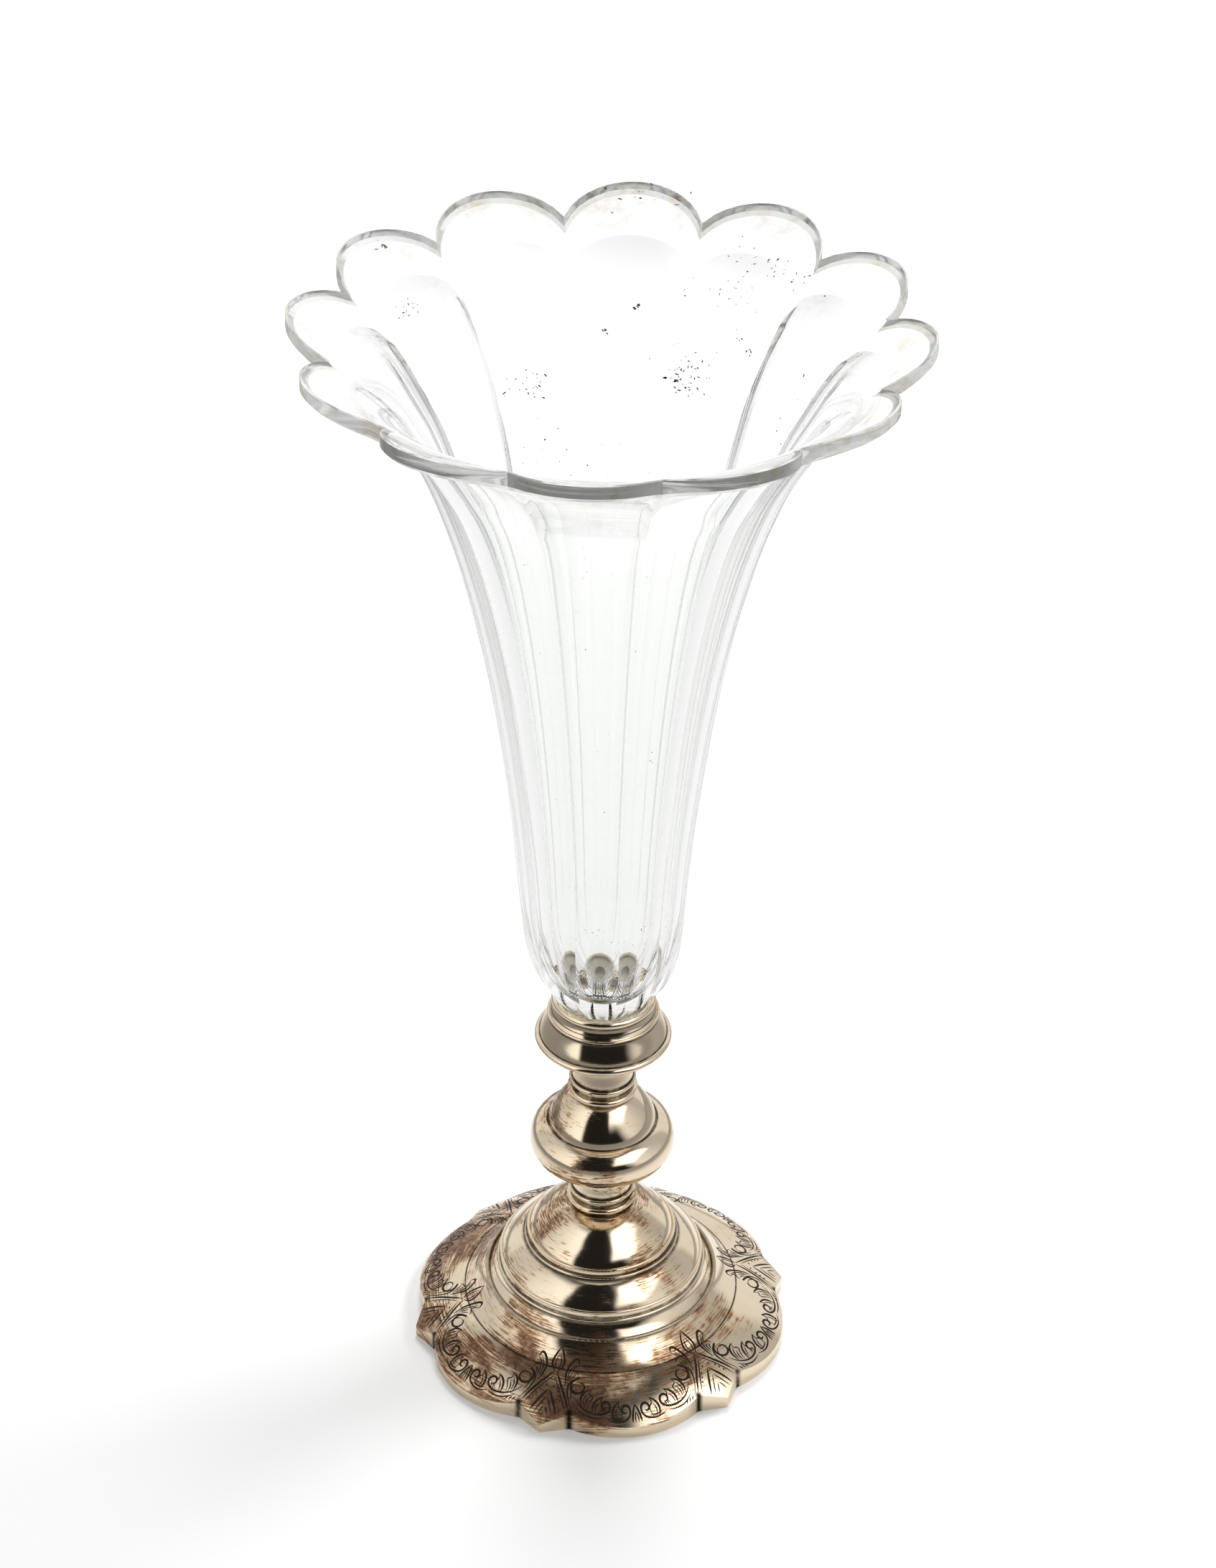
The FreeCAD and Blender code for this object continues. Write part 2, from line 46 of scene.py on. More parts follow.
# The camera stands where the photograph was taken from, 0.6 m above the rim and 1.6 m from the
# foot, and looks down, so that the inside of the trumpet and the top of the foot both show.
CAMERA_LENS = 91.95
CAMERA_PLACE = (-0.24192, -1.14165, 1.03697)
CAMERA_TURN = (55.858, -0.514, -11.654)
CAMERA_SIDE = math.radians(-101.4)
camera_data = bpy.data.cameras.new("camera")
camera_data.lens = CAMERA_LENS
camera = bpy.data.objects.new("camera", camera_data)
camera.location = CAMERA_PLACE
camera.rotation_euler = [math.radians(a) for a in CAMERA_TURN]
bpy.context.scene.collection.objects.link(camera)
bpy.context.scene.camera = camera


# The studio is a pale floor in a white surround. The metal mirrors two wide white screens, left
# and right, a bright wall behind the object, a window high on the viewer's right, and the dark
# room in front and overhead.
def colour(code):
    parts = [int(code[i:i + 2], 16) / 255 for i in (1, 3, 5)]
    linear = [c / 12.92 if c <= 0.04045 else ((c + 0.055) / 1.055) ** 2.4 for c in parts]
    return (*linear, 1.0)


def add_node(tree, kind, inputs=(), out=0, **settings):
    made = tree.nodes.new("ShaderNode" + kind)
    for name, value in settings.items():
        setattr(made, name, value)
    for name, value in inputs.items() if isinstance(inputs, dict) else enumerate(inputs):
        if isinstance(value, bpy.types.NodeSocket):
            tree.links.new(value, made.inputs[name])
        else:
            made.inputs[name].default_value = value
    return made.outputs[out]


ROOM_LEVEL, LEFT_LEVEL, RIGHT_LEVEL, BACK_LEVEL, WINDOW_LEVEL = 0.015, 1.35, 1.05, 0.95, 1.6
SOFT_LIGHT_LEVEL = 0.42
# Where each begins and where it is full or gone, in parts of a direction of length 1
LEFT_EDGE, RIGHT_EDGE, RIGHT_LEAN, BACK_EDGE = (-0.62, -0.7), (0.62, 0.95), 0.35, (0.35, 0.6)
SIDES_AWAY, SIDES_AWAY_SHARE = (-0.6, 0.3), 0.55
OVERHEAD, OVERHEAD_SHARE = (0.84, 0.96), 0.08
WINDOW_LEFT, WINDOW_RIGHT = (0.2, 0.3), (0.66, 0.78)
WINDOW_FOOT, WINDOW_HEAD, WINDOW_REAR = (0.35, 0.6), (0.9, 0.95), (0.0, 0.12)
CLIMB, CLIMB_LEVEL = (0.45, 0.9), 0.7

world = bpy.data.worlds.new("studio")
world.use_nodes = True
bpy.context.scene.world = world
sky = world.node_tree
# Directions are turned so that X is the viewer's right and Y leads away from the viewer
way = add_node(sky, "TexCoord", out="Generated")
way = add_node(sky, "Mapping", {"Vector": way, "Rotation": (0, 0, -CAMERA_SIDE - math.pi / 2)})
axes = add_node(sky, "SeparateXYZ", (way,)).node.outputs
# The screens stand upright, so that their edges are at one angle round the object
level_way = add_node(sky, "VectorMath", (way, (1, 1, 0)), operation="MULTIPLY")
level_way = add_node(sky, "VectorMath", (level_way,), operation="NORMALIZE")
turned = add_node(sky, "SeparateXYZ", (level_way,)).node.outputs
left = add_node(sky, "MapRange", (turned["X"], *LEFT_EDGE, 0, LEFT_LEVEL))
lean = add_node(sky, "Math", (axes["Z"], RIGHT_LEAN, turned["X"]), operation="MULTIPLY_ADD")
right = add_node(sky, "MapRange", (lean, *RIGHT_EDGE, 0, RIGHT_LEVEL), interpolation_type="SMOOTHSTEP")
sides = add_node(sky, "Math", (left, right), operation="ADD")
fade = add_node(sky, "MapRange", (turned["Y"], *SIDES_AWAY, 1.0, SIDES_AWAY_SHARE))
sides = add_node(sky, "Math", (sides, fade), operation="MULTIPLY")
overhead = add_node(sky, "MapRange", (axes["Z"], *OVERHEAD, 1.0, OVERHEAD_SHARE))
sides = add_node(sky, "Math", (sides, overhead), operation="MULTIPLY")
behind = add_node(sky, "MapRange", (axes["Y"], *BACK_EDGE, 0, BACK_LEVEL))
sides = add_node(sky, "Math", (sides, behind), operation="MAXIMUM")
window = add_node(sky, "MapRange", (axes["X"], *WINDOW_LEFT, 0, 1), interpolation_type="SMOOTHSTEP")
for axis, edge in (("X", WINDOW_RIGHT), ("Z", WINDOW_HEAD), ("Y", WINDOW_REAR)):
    inside = add_node(sky, "MapRange", (axes[axis], *edge, 1, 0), interpolation_type="SMOOTHSTEP")
    window = add_node(sky, "Math", (window, inside), operation="MULTIPLY")
window_foot = add_node(sky, "MapRange", (axes["Z"], *WINDOW_FOOT, 0, 1), interpolation_type="SMOOTHSTEP")
window = add_node(sky, "Math", (window, window_foot), operation="MULTIPLY")
mirrored = add_node(sky, "Math", (window, WINDOW_LEVEL, sides), operation="MULTIPLY_ADD")
mirrored = add_node(sky, "Math", (mirrored, ROOM_LEVEL), operation="ADD")
climb = add_node(sky, "MapRange", (axes["Z"], *CLIMB, 1.0, CLIMB_LEVEL))
path = add_node(sky, "LightPath").node.outputs
level = add_node(sky, "Mix", {0: path["Is Glossy Ray"], 2: SOFT_LIGHT_LEVEL, 3: mirrored})
level = add_node(sky, "Mix", {0: path["Is Transmission Ray"], 2: level, 3: climb})
level = add_node(sky, "Mix", {0: path["Is Camera Ray"], 2: level, 3: 1.0})
sky.nodes["Background"].inputs["Color"].default_value = colour("#FFFFFF")
sky.links.new(level, sky.nodes["Background"].inputs["Strength"])

# Matt paper: its own white in the picture, in the metal and through the glass, but in the metal it
# fades within half a metre into a painted dark reflection of the room
FLOOR_RADIUS, FLOOR_SIDES, OWN_WHITE = 6.0, 96, 0.18
FIBRES_PER_METRE = 900.0
PAPER_NEAR, PAPER_FAR, PAPER_DARK = 0.13, 0.42, 0.66
THROUGH_SIDE, THROUGH_NEAR, THROUGH_FAR = 0.15, 0.1, 0.03
SHADE_THROUGH_ASIDE, SHADE_THROUGH_AWAY = (-0.1, 0.45), (0.3, 0.75)
WHITE_FROM, WHITE_TO = 0.7, 1.8
floor_mesh = bmesh.new()
bmesh.ops.create_circle(floor_mesh, cap_ends=True, segments=FLOOR_SIDES, radius=FLOOR_RADIUS)
floor_data = bpy.data.meshes.new("floor")
floor_mesh.to_mesh(floor_data)
floor_mesh.free()
floor = bpy.data.objects.new("floor", floor_data)
bpy.context.scene.collection.objects.link(floor)

paper = bpy.data.materials.new("matt white paper roll")
paper.use_nodes = True
sheet = paper.node_tree
spot = add_node(sheet, "TexCoord", out="Object")
fibre = add_node(sheet, "TexNoise", {"Vector": spot, "Scale": FIBRES_PER_METRE, "Detail": 3.0})
paper_white = add_node(sheet, "Mix", {0: fibre, 6: colour("#FAFAFA"), 7: colour("#FFFFFF")}, out=2,
                       data_type="RGBA")
lit = add_node(sheet, "BsdfDiffuse", {"Color": paper_white})
glow = add_node(sheet, "Emission", {"Color": colour("#FFFFFF"), "Strength": 1.0})
painted_dark_reflection = add_node(sheet, "Emission", {"Color": colour("#16120F"), "Strength": 1.0})
path = add_node(sheet, "LightPath").node.outputs
seen = add_node(sheet, "Math", (path["Is Camera Ray"], path["Is Glossy Ray"]), operation="MAXIMUM")
seen = add_node(sheet, "Math", (seen, path["Is Transmission Ray"]), operation="MAXIMUM")
distance = add_node(sheet, "VectorMath", (spot,), out="Value", operation="LENGTH")
# Far off the paper is lit evenly up to the white of the surround, so that no edge shows
own_white = add_node(sheet, "MapRange", (distance, WHITE_FROM, WHITE_TO, OWN_WHITE, 1.0))
seen = add_node(sheet, "Math", (seen, own_white), operation="MULTIPLY")
shown = add_node(sheet, "MixShader", (seen, lit, glow))
# Painted shade seen through the glass: the paper darkens to the right and near the foot, which
# draws the flutes
viewers_right = (math.sin(-CAMERA_SIDE), math.cos(CAMERA_SIDE), 0)
aside = add_node(sheet, "VectorMath", (spot, viewers_right), out="Value", operation="DOT_PRODUCT")
aside = add_node(sheet, "MapRange", (aside, *SHADE_THROUGH_ASIDE, 0, THROUGH_SIDE))
near_foot = add_node(sheet, "MapRange", (distance, *SHADE_THROUGH_AWAY, THROUGH_NEAR, THROUGH_FAR))
shade_through_glass = add_node(sheet, "Math", (aside, near_foot), operation="ADD")
shade_through_glass = add_node(sheet, "Math", (shade_through_glass, path["Is Transmission Ray"]), operation="MULTIPLY")
shade = add_node(sheet, "Emission", {"Color": colour("#000000")})
shown = add_node(sheet, "MixShader", (shade_through_glass, shown, shade))
# Painted reflection: in the metal the paper fades with distance into a painted dark room
far = add_node(sheet, "MapRange", (distance, PAPER_NEAR, PAPER_FAR, 0, PAPER_DARK),
               interpolation_type="SMOOTHSTEP")
only_mirrored = add_node(sheet, "Math", (path["Is Glossy Ray"], path["Is Transmission Ray"]),
                         operation="SUBTRACT", use_clamp=True)
far = add_node(sheet, "Math", (far, only_mirrored), operation="MULTIPLY")
shown = add_node(sheet, "MixShader", (far, shown, painted_dark_reflection))
sheet.links.new(shown, sheet.nodes["Material Output"].inputs["Surface"])
floor_data.materials.append(paper)


LAMP_AIM = (0, 0, 0.2)


def soft_light(name, place, power, size):
    lamp = bpy.data.lights.new(name, "AREA")
    lamp.size = size
    lamp.energy = power
    light = bpy.data.objects.new(name, lamp)
    light.location = place
    light.rotation_euler = (Vector(LAMP_AIM) - Vector(place)).to_track_quat("-Z", "Y").to_euler()
    light.visible_glossy = light.visible_camera = light.visible_transmission = False
    bpy.context.scene.collection.objects.link(light)


soft_light("right_screen", place=(1.5, 0.5, 1.3), power=22.0, size=0.7)
soft_light("back_screen", place=(0.4, 1.6, 2.6), power=46.0, size=1.0)


# Silver, raised and spun from sheet and polished by hand. That gives sharp but wavy mirror images.
# Polish has not reached the corners, where black sulphide stays with painted shade in the creases,
# and brown tarnish lies in patches whose edges are torn into streaks along the way that the cloth
# was wiped.
CLEAN_SILVER, YELLOWED_SILVER = "#F0E5D2", "#D2BA96"
STRAW_TARNISH, BROWN_TARNISH, SULPHIDE_AND_CREASE_SHADE = "#BE9E7C", "#6B4D3C", "#1E1611"
PATCH_MM, STREAK_MM, STREAK_LENGTH_MM, GRIT_MM, DENT_MM = 24.0, 0.7, 9.0, 2.0, 18.0
STREAK_CIRCLE_MM, LEAST_WIPED, TORN = 45.0, (-1.4, 0.0, -0.9), 0.13
FILM_FROM, FILM_FULL, FILM_SHIFT = 0.66, 0.82, 0.22
BREAK_MM, BREAK_LEAST = 5.0, 0.5
POLISHED_ROUGH, TARNISHED_ROUGH = 0.1, 0.42
DENT_DEPTH_MM, SCRATCH_DEPTH_MM = 0.22, 0.006
NOTCH_RADIUS, NOTCH_ANGLE, LOBE_PITCH = 67.35, math.radians(8.5), math.radians(60)
NOTCH_DARK, NOTCH_CLEAR = 0.2, 2.2


def new_finish(name):
    made = bpy.data.materials.new(name)
    made.use_nodes = True
    return made, made.node_tree, made.node_tree.nodes["Principled BSDF"]


def silver(name, corners, tarnish, seed, notches=False):
    made, tree, shader = new_finish(name)
    spot = add_node(tree, "TexCoord", out="Object")
    height = add_node(tree, "SeparateXYZ", (spot,), out="Z")
    flat = add_node(tree, "VectorMath", (spot, (1, 1, 0)), operation="MULTIPLY")
    radius = add_node(tree, "VectorMath", (flat,), out="Value", operation="LENGTH")
    # Wiping ran round the object: a place is its way round and its distance down the slope
    round_way = add_node(tree, "VectorMath", (flat,), operation="NORMALIZE")
    round_way = add_node(tree, "VectorMath", {0: round_way, "Scale": STREAK_CIRCLE_MM / STREAK_LENGTH_MM},
                         operation="SCALE")
    slope = add_node(tree, "Math", (radius, height), operation="SUBTRACT")
    slope = add_node(tree, "Math", (slope, 1 / (STREAK_MM * MM)), operation="MULTIPLY")
    slope = add_node(tree, "CombineXYZ", {"Z": slope})
    wiped = add_node(tree, "VectorMath", (round_way, slope), operation="ADD")
    streaks = add_node(tree, "TexNoise", {"Vector": wiped, "W": seed, "Scale": 1.0, "Detail": 5.0,
                                          "Roughness": 0.65}, noise_dimensions="4D")
    patches = add_node(tree, "TexNoise", {"Vector": spot, "W": seed + 3, "Scale": 1 / (PATCH_MM * MM),
                                          "Detail": 5.0, "Roughness": 0.6}, noise_dimensions="4D")
    # The left side and the parts low down were wiped least
    least_wiped = add_node(tree, "VectorMath", (spot, LEAST_WIPED), out="Value", operation="DOT_PRODUCT")
    spread = add_node(tree, "Math", (patches, least_wiped), operation="ADD")
    torn = add_node(tree, "MapRange", (streaks, 0.3, 0.7, -TORN, TORN))
    spread = add_node(tree, "Math", (spread, torn), operation="ADD")
    film_range = (FILM_FROM - FILM_SHIFT * tarnish, FILM_FULL - FILM_SHIFT * tarnish)
    film = add_node(tree, "MapRange", (spread, *film_range), interpolation_type="SMOOTHSTEP")
    grit = add_node(tree, "TexNoise", {"Vector": spot, "Scale": 1 / (GRIT_MM * MM), "Detail": 4.0,
                                       "Roughness": 0.7})
    grain = add_node(tree, "MapRange", (grit, 0.3, 0.65, 0.55, 1.0))
    film = add_node(tree, "Math", (film, grain), operation="MULTIPLY")
    profile = add_node(tree, "CombineXYZ", (radius, height))
    # Black sulphide and painted crease shade: the metal darkens near each listed crease corner and, on the
    # foot, round the notches of its outline
    dark = 0.0
    for (ring_radius, ring_height), reach in corners:
        corner = (ring_radius * MM, ring_height * MM, 0)
        away = add_node(tree, "VectorMath", (profile, corner), out="Value", operation="DISTANCE")
        close = add_node(tree, "MapRange", (away, 0, reach * MM, 1, 0), interpolation_type="SMOOTHSTEP")
        dark = add_node(tree, "Math", (close, dark), operation="MAXIMUM")
    if notches:
        # One lobe stands for all: the angle is folded about the middle of each cartouche
        parts = add_node(tree, "SeparateXYZ", (spot,)).node.outputs
        turn = add_node(tree, "Math", (parts["Y"], parts["X"]), operation="ARCTAN2")
        turn = add_node(tree, "Math", (turn, LOBE_PITCH / 2), operation="PINGPONG")
        folded = [add_node(tree, "Math", (turn,), operation=kind) for kind in ("COSINE", "SINE")]
        folded = add_node(tree, "CombineXYZ", folded)
        folded = add_node(tree, "VectorMath", {0: folded, "Scale": radius}, operation="SCALE")
        notch = [NOTCH_RADIUS * MM * f(NOTCH_ANGLE) for f in (math.cos, math.sin)]
        away = add_node(tree, "VectorMath", (folded, (*notch, 0)), out="Value", operation="DISTANCE")
        close = add_node(tree, "MapRange", (away, NOTCH_DARK * MM, NOTCH_CLEAR * MM, 1, 0),
                         interpolation_type="SMOOTHSTEP")
        dark = add_node(tree, "Math", (close, dark), operation="MAXIMUM")
    broken = add_node(tree, "TexNoise", {"Vector": spot, "Scale": 1 / (BREAK_MM * MM), "Detail": 5.0,
                                         "Roughness": 0.65})
    broken = add_node(tree, "MapRange", (broken, 0.3, 0.5, BREAK_LEAST, 1.0))
    dark = add_node(tree, "Math", (dark, broken), operation="MULTIPLY")
    clean = add_node(tree, "Mix", {0: patches, 6: colour(CLEAN_SILVER), 7: colour(YELLOWED_SILVER)}, out=2,
                     data_type="RGBA")
    thin_film = add_node(tree, "MapRange", (film, 0.0, 0.4))
    shade = add_node(tree, "Mix", {0: thin_film, 6: clean, 7: colour(STRAW_TARNISH)}, out=2, data_type="RGBA")
    thick_film = add_node(tree, "MapRange", (film, 0.3, 0.9))
    shade = add_node(tree, "Mix", {0: thick_film, 6: shade, 7: colour(BROWN_TARNISH)}, out=2,
                     data_type="RGBA")
    shade = add_node(tree, "Mix", {0: dark, 6: shade, 7: colour(SULPHIDE_AND_CREASE_SHADE)}, out=2, data_type="RGBA")
    tree.links.new(shade, shader.inputs["Base Color"])
    shader.inputs["Metallic"].default_value = 1.0
    worn = add_node(tree, "Math", (film, dark), operation="MAXIMUM")
    rough = add_node(tree, "MapRange", (worn, 0, 1, POLISHED_ROUGH, TARNISHED_ROUGH))
    tree.links.new(rough, shader.inputs["Roughness"])
    # Wiping scratches a micron deep, and the shallow dents of long use
    dents = add_node(tree, "TexNoise", {"Vector": spot, "Scale": 1 / (DENT_MM * MM), "Detail": 1.5})
    dents = add_node(tree, "Math", (dents, DENT_DEPTH_MM * MM), operation="MULTIPLY")
    raised = add_node(tree, "Math", (streaks, SCRATCH_DEPTH_MM * MM, dents), operation="MULTIPLY_ADD")
    bump = add_node(tree, "Bump", {"Height": raised, "Strength": 1.0, "Distance": 1.0})
    tree.links.new(bump, shader.inputs["Normal"])
    return made


def dress(name, finish):
    slots = nodes[name].data.materials
    slots.clear()
    slots.append(finish)


# Creases as (radius, height) in mm with a reach in mm, darkened by sulphide and painted crease shade
foot_corners = [((43.4, 23.2), 1.7), ((39.6, 28.2), 1.3), ((38.8, 30.2), 1.0), ((29.2, 40.0), 1.3),
                ((28.4, 42.0), 1.1), ((12.6, 57.6), 1.4), ((52.0, 15.0), 0.6)]
foot_silver = silver("hand polished silver, foot", foot_corners, 0.86, 1.0, notches=True)
for name in ("foot_apron", "foot_dome", "foot_bell"):
    dress(name, foot_silver)
# The wires and the edge stand proud, and hands have kept them bright
rubbed_silver = silver("silver rubbed bright, wires and edge", foot_corners, 0.3, 1.0, notches=True)
for name in ("foot_edge_band", "foot_step_wire", "foot_dome_lower_bead", "foot_dome_upper_bead",
             "foot_lower_reed", "foot_upper_reed"):
    dress(name, rubbed_silver)


# The engraved border, cut by hand with a graver: a pointed frame and a leaf on each cartouche, with
# scrolls and acanthus leaves that run along the lobes. Each cut swells, tapers and has filled with
# black sulphide. A twelfth is drawn flat, mirrored, repeated six times and laid on the metal.
FINE_CUT, BOLD_CUT, CUT_STEP, CUT_LIFT = 0.48, 0.85, 0.7, 0.035
CURL_STEPS, CURL_SHRINK, AHEAD, BLUNT_END, ABOVE_FOOT = 9, 0.6, 0.05, 0.04, 0.1
HAND_WANDER, HAND_REACH, HAND_SEED = 0.45, 14.0, 21
LOBES = 6


def smooth_line(points):
    # A natural spline: the share along it is counted in points
    values = np.array(points, float)
    count = len(values)
    steps = np.sqrt(((values[1:] - values[:-1]) ** 2).sum(1))
    system = np.zeros((count, count))
    right_side = np.zeros((count, values.shape[1]))
    system[0, 0] = system[-1, -1] = 1.0
    for i in range(1, count - 1):
        a, b = steps[i - 1], steps[i]
        system[i, i - 1:i + 2] = a, 2 * (a + b), b
        right_side[i] = 6 * ((values[i + 1] - values[i]) / b - (values[i] - values[i - 1]) / a)
    bend = np.linalg.solve(system, right_side)

    def point(share):
        i = min(max(int(share), 0), count - 2)
        h = steps[i]
        u = (share - i) * h
        v = h - u
        return (bend[i] * v ** 3 / (6 * h) + bend[i + 1] * u ** 3 / (6 * h)
                + (values[i] / h - bend[i] * h / 6) * v + (values[i + 1] / h - bend[i + 1] * h / 6) * u)
    return point


def on_border(degrees, radius):
    return np.array((radius * math.cos(math.radians(degrees)), radius * math.sin(math.radians(degrees))))


# A stroke that ends in a curl: it winds in round a middle, to the left or to the right
def curled(points, middle, turns):
    path = [on_border(*p) for p in points]
    centre = on_border(*middle)
    reach = path[-1] - centre
    count = max(4, round(abs(turns) * CURL_STEPS))
    for i in range(1, count + 1):
        angle = math.tau * turns * i / count
        shrink = 1 - CURL_SHRINK * i / count
        turned_reach = np.array((reach[0] * math.cos(angle) - reach[1] * math.sin(angle),
                                 reach[0] * math.sin(angle) + reach[1] * math.cos(angle)))
        path.append(centre + shrink * turned_reach)
    return path


def plain(*points):
    return [on_border(*p) for p in points]


strokes = [
    (BOLD_CUT, plain((8.0, 66.2), (6.2, 62.3), (3.3, 57.6), (0.5, 53.4))),
    (FINE_CUT, plain((6.9, 66.9), (5.3, 63.2), (2.9, 59.0), (0.3, 55.6))),
    (BOLD_CUT, plain((4.4, 68.6), (2.7, 64.6), (0.2, 60.4))),
    (FINE_CUT, plain((3.0, 69.0), (1.7, 66.0), (0.2, 63.2))),
    (FINE_CUT, plain((1.5, 69.2), (0.9, 67.6), (0.2, 66.2))),
    (BOLD_CUT, plain((0.5, 53.2), (2.5, 50.8), (2.1, 48.2), (0.1, 45.4))),
    (FINE_CUT, plain((0.4, 52.4), (1.2, 50.6), (0.3, 47.4))),
    (BOLD_CUT, curled([(9.3, 66.2), (7.5, 62.9), (6.5, 59.6), (7.3, 56.4), (10.0, 54.8)],
                      (10.4, 58.2), 1.05)),
    (FINE_CUT, plain((8.7, 62.8), (7.9, 60.2), (8.2, 58.0), (9.6, 56.7))),
    (BOLD_CUT, plain((5.3, 58.2), (4.5, 54.0), (5.4, 50.2), (8.6, 48.2), (9.5, 49.9))),
    (FINE_CUT, plain((9.5, 49.9), (8.0, 50.6), (7.2, 52.0), (8.7, 52.6), (9.5, 53.8))),
    (FINE_CUT, plain((5.9, 57.0), (5.5, 54.2), (6.2, 51.6), (7.9, 49.8))),
    (FINE_CUT, plain((6.5, 56.4), (6.4, 54.4), (7.0, 52.9))),
    (FINE_CUT, plain((7.2, 55.8), (7.4, 54.6), (8.6, 53.6))),
    (BOLD_CUT, curled([(9.6, 62.2), (11.6, 64.8), (14.6, 66.7), (18.0, 67.3), (20.9, 66.2)],
                      (19.8, 64.6), 0.95)),
    (FINE_CUT, plain((10.6, 65.6), (13.4, 67.6), (16.6, 68.5), (19.6, 68.4))),
    (BOLD_CUT, plain((12.0, 64.8), (11.8, 62.0), (12.8, 59.9), (15.2, 58.9))),
    (FINE_CUT, plain((15.2, 58.9), (14.4, 60.6), (15.6, 61.6), (14.8, 63.4), (14.2, 66.0))),
    (FINE_CUT, plain((12.8, 65.0), (12.7, 62.6), (13.9, 60.4))),
    (FINE_CUT, plain((13.5, 65.6), (13.5, 63.6), (14.3, 61.9))),
    (BOLD_CUT, plain((15.8, 66.8), (15.9, 64.6), (17.0, 62.6), (19.2, 61.4))),
    (FINE_CUT, plain((19.2, 61.4), (18.4, 63.0), (18.9, 64.2), (17.9, 66.8))),
    (FINE_CUT, plain((16.6, 66.6), (16.9, 64.8), (18.0, 63.2))),
    (BOLD_CUT, curled([(20.2, 68.2), (22.8, 69.4), (25.6, 69.3), (27.7, 68.0), (28.2, 66.0)],
                      (26.6, 65.9), 0.9)),
    (FINE_CUT, plain((21.6, 68.0), (23.8, 68.6), (25.8, 68.2))),
    (BOLD_CUT, plain((22.9, 69.2), (22.3, 66.8), (23.0, 64.6), (24.8, 63.0))),
    (FINE_CUT, plain((24.8, 63.0), (24.4, 64.8), (25.3, 66.0), (24.8, 68.8))),
    (FINE_CUT, plain((23.6, 68.8), (23.3, 66.9), (24.1, 65.0))),
    (BOLD_CUT, plain((28.6, 69.9), (28.9, 67.4), (30.0, 64.2))),
    (FINE_CUT, plain((29.5, 69.9), (29.6, 68.0), (30.0, 66.4)))]
# Short shading cuts between the scroll and the edge, and dots inside the frame
strokes += [(FINE_CUT, plain((d, 66.0 + 0.26 * (d - 9)), (d + 0.9, 67.7 + 0.21 * (d - 9))))
            for d in (10.2, 11.3, 12.4)]
strokes += [(FINE_CUT, plain((d, 66.6), (d + 0.5, 65.2))) for d in (18.8, 19.6)]
strokes += [(BOLD_CUT, plain((d, r), (d + 0.35, r + 0.5)))
            for d, r in ((3.1, 60.6), (3.9, 62.1), (4.7, 63.6), (1.2, 58.8))]

cuts = bmesh.new()
for width, path in strokes:
    line = smooth_line(path)
    length = sum(np.hypot(*(b - a)) for a, b in zip(path, path[1:]))
    count = max(3, round(length / CUT_STEP))
    edge = None
    for i in range(count + 1):
        share = (len(path) - 1) * i / count
        middle = line(share)
        ahead = line(share + AHEAD) - line(share - AHEAD)
        swell = width * math.sqrt(max(BLUNT_END, math.sin(math.pi * i / count)))
        across = np.array((-ahead[1], ahead[0])) / np.hypot(*ahead) * swell / 2
        sides = [(*(middle + across), 0), (*(middle - across), 0)]
        if edge is None:
            edge = cuts.edges.new([cuts.verts.new(s) for s in sides])
        else:
            grown = bmesh.ops.extrude_edge_only(cuts, edges=[edge])["geom"]
            edge = next(g for g in grown if isinstance(g, bmesh.types.BMEdge)
                        and all(v in grown for v in g.verts))
            pair = sorted(edge.verts, key=lambda v: (v.co - Vector(last_sides[0])).length)
            for vert, place in zip(pair, sides):
                vert.co = place
        last_sides = sides
bmesh.ops.mirror(cuts, geom=cuts.verts[:] + cuts.edges[:] + cuts.faces[:], axis="Y", merge_dist=0.0)
bmesh.ops.spin(cuts, geom=cuts.verts[:] + cuts.edges[:] + cuts.faces[:], cent=(0, 0, 0), axis=(0, 0, 1),
               angle=LOBE_PITCH * (LOBES - 1), steps=LOBES - 1, use_duplicate=True)
apron = nodes["foot_apron"].data
apron_tree = BVHTree.FromPolygons([v.co for v in apron.vertices], [p.vertices for p in apron.polygons])
# One fixed seed, or the wander would follow the clock. This one keeps each cut on the apron
noise.seed_set(HAND_SEED)
for vert in cuts.verts:
    wander = noise.noise_vector(vert.co / HAND_REACH) * HAND_WANDER
    x, y = (vert.co.x + wander.x) * MM, (vert.co.y + wander.y) * MM
    metal = apron_tree.ray_cast(Vector((x, y, ABOVE_FOOT)), Vector((0, 0, -1)))[0]
    vert.co = (x, y, metal.z + CUT_LIFT * MM)
cuts.normal_update()
bmesh.ops.reverse_faces(cuts, faces=[f for f in cuts.faces if f.normal.z < 0])
cuts_data = bpy.data.meshes.new("engraving")
cuts.to_mesh(cuts_data)
cuts.free()
engraving = bpy.data.objects.new("foot_border_engraving", cuts_data)
bpy.context.scene.collection.objects.link(engraving)
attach(engraving, "root")

# A cut's floor: silver black with sulphide, a little shiny where the graver slid
sulphide, tree, shader = new_finish("sulphided graver cut")
spot = add_node(tree, "TexCoord", out="Object")
depth = add_node(tree, "TexNoise", {"Vector": spot, "Scale": 1 / (3.0 * MM), "Detail": 4.0, "Roughness": 0.7})
depth = add_node(tree, "MapRange", (depth, 0.35, 0.68))
mixed = add_node(tree, "Mix", {0: depth, 6: colour("#17100C"), 7: colour("#3C2D23")}, out=2, data_type="RGBA")
tree.links.new(mixed, shader.inputs["Base Color"])
shader.inputs["Metallic"].default_value = 0.7
tree.links.new(add_node(tree, "MapRange", (depth, 0, 1, 0.45, 0.7)), shader.inputs["Roughness"])
cuts_data.materials.append(sulphide)


